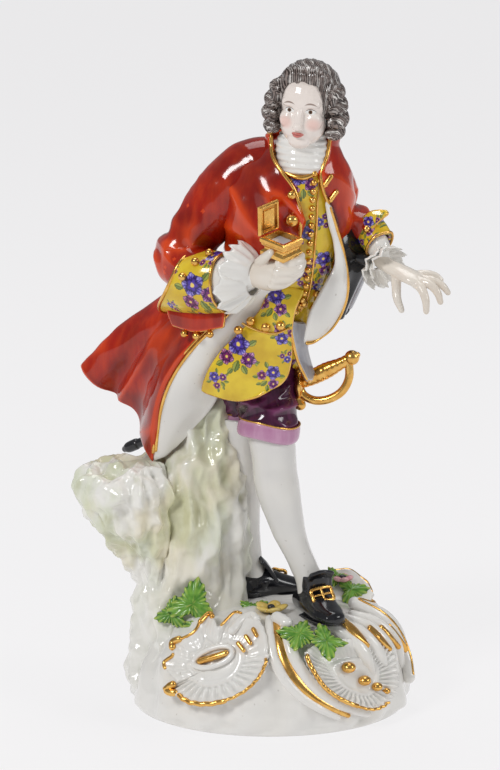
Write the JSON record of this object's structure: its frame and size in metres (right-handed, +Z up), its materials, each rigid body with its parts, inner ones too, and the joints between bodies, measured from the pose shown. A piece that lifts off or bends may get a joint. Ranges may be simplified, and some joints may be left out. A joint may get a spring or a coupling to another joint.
{
  "type": "porcelain figurine",
  "caption": "Glazed porcelain figurine of a bowing gentleman with an open snuffbox, a tricorn and a sword, against a rock on a shell-and-scroll plinth.",
  "frame": {"origin": "the middle of the whole figurine's bounding box, on the plane that it stands on", "axes": "+Z up, +X to the viewer's right of the figurine, -Y towards the viewer, so the gentleman bows towards -Y"},
  "size_m": [0.1194, 0.0866, 0.2179],
  "materials": {
    "white_glaze": "clear glaze over white body",
    "stocking_white": "clear glaze over white body",
    "flesh_glaze": "clear glaze with faint flesh tints",
    "rock_glaze": "clear glaze with green and olive washes",
    "red_enamel": "iron-red overglaze enamel",
    "yellow_enamel": "yellow enamel painted with flowers",
    "purple_enamel": "dark purple enamel",
    "pink_enamel": "lilac-pink enamel",
    "black_enamel": "black enamel",
    "hair_enamel": "grey-brown brushed enamel",
    "green_enamel": "green enamel",
    "gilding": "burnished gold over glazed porcelain"
  },
  "bodies": {
    "root": {"coat_button_upper": "gilding", "coat_button_lower": "gilding", "snuffbox_tray": "gilding", "snuffbox_lid": "gilding", "buckle_front": "gilding", "buckle_rear": "gilding", "sword_pommel": "gilding", "sword_grip": "gilding", "sword_guard": "gilding", "hand_right": "flesh_glaze", "hand_left": "flesh_glaze", "ruffle_right": "white_glaze", "ruffle_left": "white_glaze", "cuff_right": "yellow_enamel", "cuff_left": "yellow_enamel", "head": "flesh_glaze", "neck_stock": "white_glaze", "wig_curls_right": "hair_enamel", "wig_curls_left": "hair_enamel", "queue_ribbon": "black_enamel", "wig_queue": "hair_enamel", "wig_crown": "hair_enamel", "pocket_flap_right": "red_enamel", "waistcoat_flap_right": "yellow_enamel", "waistcoat_flap_left": "yellow_enamel", "coat_front_left": "red_enamel", "coat_lining_right": "white_glaze", "hat_crown": "black_enamel", "hat_brim": "black_enamel", "sleeve_right_lower": "red_enamel", "sleeve_right_upper": "red_enamel", "sleeve_left_lower": "red_enamel", "sleeve_left_upper": "red_enamel", "waistcoat_body": "yellow_enamel", "coat_body": "red_enamel", "scabbard": "black_enamel", "coat_skirt_right": "red_enamel", "coat_skirt_back": "red_enamel", "coat_skirt_left": "red_enamel", "knee_band_front": "pink_enamel", "knee_band_rear": "pink_enamel", "breeches_front": "purple_enamel", "breeches_rear": "purple_enamel", "shoe_front": "black_enamel", "shoe_rear": "black_enamel", "leg_front": "stocking_white", "leg_rear": "stocking_white", "leaf_stump": "green_enamel", "rock_ledge": "rock_glaze", "rock_stump": "rock_glaze", "leaf_front": "green_enamel", "rocaille_cartouche": "white_glaze", "rocaille_scroll": "white_glaze", "rocaille_shell": "white_glaze", "rocaille_crest": "white_glaze", "rocaille_rear_scroll": "white_glaze", "flower_yellow": "yellow_enamel", "flower_pink": "pink_enamel", "leaf_rear": "green_enamel", "plinth": "white_glaze"}
  },
  "joints": []
}
